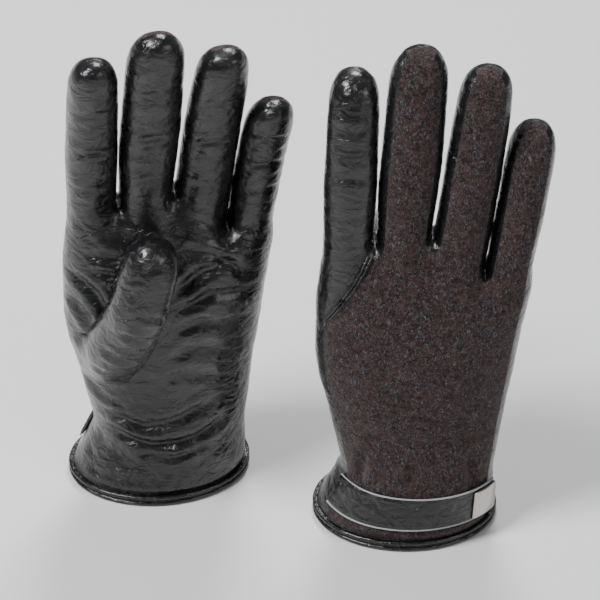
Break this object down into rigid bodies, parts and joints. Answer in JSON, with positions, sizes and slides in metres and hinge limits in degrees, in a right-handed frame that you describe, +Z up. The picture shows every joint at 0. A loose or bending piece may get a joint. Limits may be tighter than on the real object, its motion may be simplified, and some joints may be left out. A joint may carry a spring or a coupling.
{
  "type": "leather gloves",
  "caption": "Pair of dress gloves standing on their hems, in glossy black leather with brown wool backs and a strap over the wrist.",
  "frame": {"origin": "middle of the pair's bounding box, on the surface the hems stand on", "axes": "+Z up from hems to fingertips; the right glove's back faces -Y; +X from the left glove to the right glove"},
  "size_m": [0.2151, 0.0976, 0.2369],
  "materials": {
    "black_leather": "glossy",
    "wool_cloth": "matte",
    "knit_lining": "matte",
    "edge_paint": "satin",
    "polished_metal": "polished"
  },
  "bodies": {
    "left_hand": {"left_hand_back": "wool_cloth", "left_hand_palm": "black_leather", "left_index_quarter": "black_leather", "left_hand_lining": "knit_lining", "left_thumb_base": "black_leather", "left_cuff_back": "wool_cloth", "left_cuff_palm": "black_leather", "left_hem_binding": "black_leather", "left_seam_piping": "black_leather", "left_wrist_elastic": "knit_lining", "left_stud_post": "polished_metal"},
    "left_strap": {"left_wrist_strap": "black_leather", "left_strap_edging": "edge_paint", "left_strap_plate": "polished_metal", "left_stud_socket": "polished_metal"},
    "left_index_base": {"left_index_base": "black_leather"},
    "left_index_tip": {"left_index_tip": "black_leather"},
    "left_middle_base": {"left_middle_base_back": "wool_cloth", "left_middle_base_palm": "black_leather"},
    "left_middle_tip": {"left_middle_tip_back": "wool_cloth", "left_middle_tip_palm": "black_leather"},
    "left_ring_base": {"left_ring_base_back": "wool_cloth", "left_ring_base_palm": "black_leather"},
    "left_ring_tip": {"left_ring_tip_back": "wool_cloth", "left_ring_tip_palm": "black_leather"},
    "left_little_base": {"left_little_base_back": "wool_cloth", "left_little_base_palm": "black_leather"},
    "left_little_tip": {"left_little_tip_back": "wool_cloth", "left_little_tip_palm": "black_leather"},
    "left_thumb_tip": {"left_thumb_tip": "black_leather"},
    "right_hand": {"right_hand_back": "wool_cloth", "right_hand_palm": "black_leather", "right_index_quarter": "black_leather", "right_hand_lining": "knit_lining", "right_thumb_base": "black_leather", "right_cuff_back": "wool_cloth", "right_cuff_palm": "black_leather", "right_hem_binding": "black_leather", "right_seam_piping": "black_leather", "right_wrist_elastic": "knit_lining", "right_stud_post": "polished_metal"},
    "right_strap": {"right_wrist_strap": "black_leather", "right_strap_edging": "edge_paint", "right_strap_plate": "polished_metal", "right_stud_socket": "polished_metal"},
    "right_index_base": {"right_index_base": "black_leather"},
    "right_index_tip": {"right_index_tip": "black_leather"},
    "right_middle_base": {"right_middle_base_back": "wool_cloth", "right_middle_base_palm": "black_leather"},
    "right_middle_tip": {"right_middle_tip_back": "wool_cloth", "right_middle_tip_palm": "black_leather"},
    "right_ring_base": {"right_ring_base_back": "wool_cloth", "right_ring_base_palm": "black_leather"},
    "right_ring_tip": {"right_ring_tip_back": "wool_cloth", "right_ring_tip_palm": "black_leather"},
    "right_little_base": {"right_little_base_back": "wool_cloth", "right_little_base_palm": "black_leather"},
    "right_little_tip": {"right_little_tip_back": "wool_cloth", "right_little_tip_palm": "black_leather"},
    "right_thumb_tip": {"right_thumb_tip": "black_leather"}
  },
  "joints": [
    {"name": "left_index_knuckle", "type": "hinge", "parent": "left_hand", "child": "left_index_base", "pos_m": [-0.08959, -0.00052, 0.1382], "axis": [0.9903, 0.1392, 0], "range_deg": [0, 55]},
    {"name": "left_index_middle_joint", "type": "hinge", "parent": "left_index_base", "child": "left_index_tip", "pos_m": [-0.08802, -0.00218, 0.182], "axis": [0.9903, 0.1392, 0], "range_deg": [0, 66]},
    {"name": "left_middle_knuckle", "type": "hinge", "parent": "left_hand", "child": "left_middle_base", "pos_m": [-0.06632, 0.00275, 0.1382], "axis": [0.9903, 0.1392, 0], "range_deg": [0, 55]},
    {"name": "left_middle_middle_joint", "type": "hinge", "parent": "left_middle_base", "child": "left_middle_tip", "pos_m": [-0.06263, 0.00138, 0.1875], "axis": [0.9903, 0.1392, 0], "range_deg": [0, 66]},
    {"name": "left_ring_knuckle", "type": "hinge", "parent": "left_hand", "child": "left_ring_base", "pos_m": [-0.04255, 0.00609, 0.1382], "axis": [0.9903, 0.1392, 0], "range_deg": [0, 55]},
    {"name": "left_ring_middle_joint", "type": "hinge", "parent": "left_ring_base", "child": "left_ring_tip", "pos_m": [-0.0365, 0.00506, 0.183], "axis": [0.9903, 0.1392, 0], "range_deg": [0, 66]},
    {"name": "left_little_knuckle", "type": "hinge", "parent": "left_hand", "child": "left_little_base", "pos_m": [-0.01997, 0.00926, 0.1382], "axis": [0.9903, 0.1392, 0], "range_deg": [0, 55]},
    {"name": "left_little_middle_joint", "type": "hinge", "parent": "left_little_base", "child": "left_little_tip", "pos_m": [-0.01511, 0.0081, 0.169], "axis": [0.9903, 0.1392, 0], "range_deg": [0, 66]},
    {"name": "left_thumb_joint", "type": "hinge", "parent": "left_hand", "child": "left_thumb_tip", "pos_m": [-0.05849, -0.01635, 0.10624], "axis": [-0.0631, 0.9802, 0.1879], "range_deg": [0, 30]},
    {"name": "left_strap_swing", "type": "hinge", "parent": "left_hand", "child": "left_strap", "pos_m": [-0.10491, 0.02156, 0.019], "axis": [0, 0, 1], "range_deg": [0, 100]},
    {"name": "right_index_knuckle", "type": "hinge", "parent": "right_hand", "child": "right_index_base", "pos_m": [0.02035, -0.0031, 0.1382], "axis": [-1, 0, 0], "range_deg": [0, 55]},
    {"name": "right_index_middle_joint", "type": "hinge", "parent": "right_index_base", "child": "right_index_tip", "pos_m": [0.02167, -0.00123, 0.182], "axis": [-1, 0, 0], "range_deg": [0, 66]},
    {"name": "right_middle_knuckle", "type": "hinge", "parent": "right_hand", "child": "right_middle_base", "pos_m": [0.04385, -0.0031, 0.1382], "axis": [-1, 0, 0], "range_deg": [0, 55]},
    {"name": "right_middle_middle_joint", "type": "hinge", "parent": "right_middle_base", "child": "right_middle_tip", "pos_m": [0.04732, -0.00123, 0.1875], "axis": [-1, 0, 0], "range_deg": [0, 66]},
    {"name": "right_ring_knuckle", "type": "hinge", "parent": "right_hand", "child": "right_ring_base", "pos_m": [0.06785, -0.0031, 0.1382], "axis": [-1, 0, 0], "range_deg": [0, 55]},
    {"name": "right_ring_middle_joint", "type": "hinge", "parent": "right_ring_base", "child": "right_ring_tip", "pos_m": [0.0737, -0.00124, 0.183], "axis": [-1, 0, 0], "range_deg": [0, 66]},
    {"name": "right_little_knuckle", "type": "hinge", "parent": "right_hand", "child": "right_little_base", "pos_m": [0.09065, -0.0031, 0.1382], "axis": [-1, 0, 0], "range_deg": [0, 55]},
    {"name": "right_little_middle_joint", "type": "hinge", "parent": "right_little_base", "child": "right_little_tip", "pos_m": [0.0953, -0.00127, 0.169], "axis": [-1, 0, 0], "range_deg": [0, 66]},
    {"name": "right_thumb_joint", "type": "hinge", "parent": "right_hand", "child": "right_thumb_tip", "pos_m": [0.04895, 0.0169, 0.10624], "axis": [-0.074, 0.9794, -0.1879], "range_deg": [0, 30]},
    {"name": "right_strap_swing", "type": "hinge", "parent": "right_hand", "child": "right_strap", "pos_m": [0.00825, -0.0271, 0.019], "axis": [0, 0, -1], "range_deg": [0, 100]},
    {"name": "pair_slide", "type": "slide", "parent": "left_hand", "child": "right_hand", "axis": [1, 0, 0], "range_m": [0, 0.15]}
  ],
  "couplings": [
    {"joint": "left_index_middle_joint", "follows": "left_index_knuckle", "ratio": 1.2},
    {"joint": "left_middle_middle_joint", "follows": "left_middle_knuckle", "ratio": 1.2},
    {"joint": "left_ring_middle_joint", "follows": "left_ring_knuckle", "ratio": 1.2},
    {"joint": "left_little_middle_joint", "follows": "left_little_knuckle", "ratio": 1.2},
    {"joint": "right_index_middle_joint", "follows": "right_index_knuckle", "ratio": 1.2},
    {"joint": "right_middle_middle_joint", "follows": "right_middle_knuckle", "ratio": 1.2},
    {"joint": "right_ring_middle_joint", "follows": "right_ring_knuckle", "ratio": 1.2},
    {"joint": "right_little_middle_joint", "follows": "right_little_knuckle", "ratio": 1.2}
  ]
}
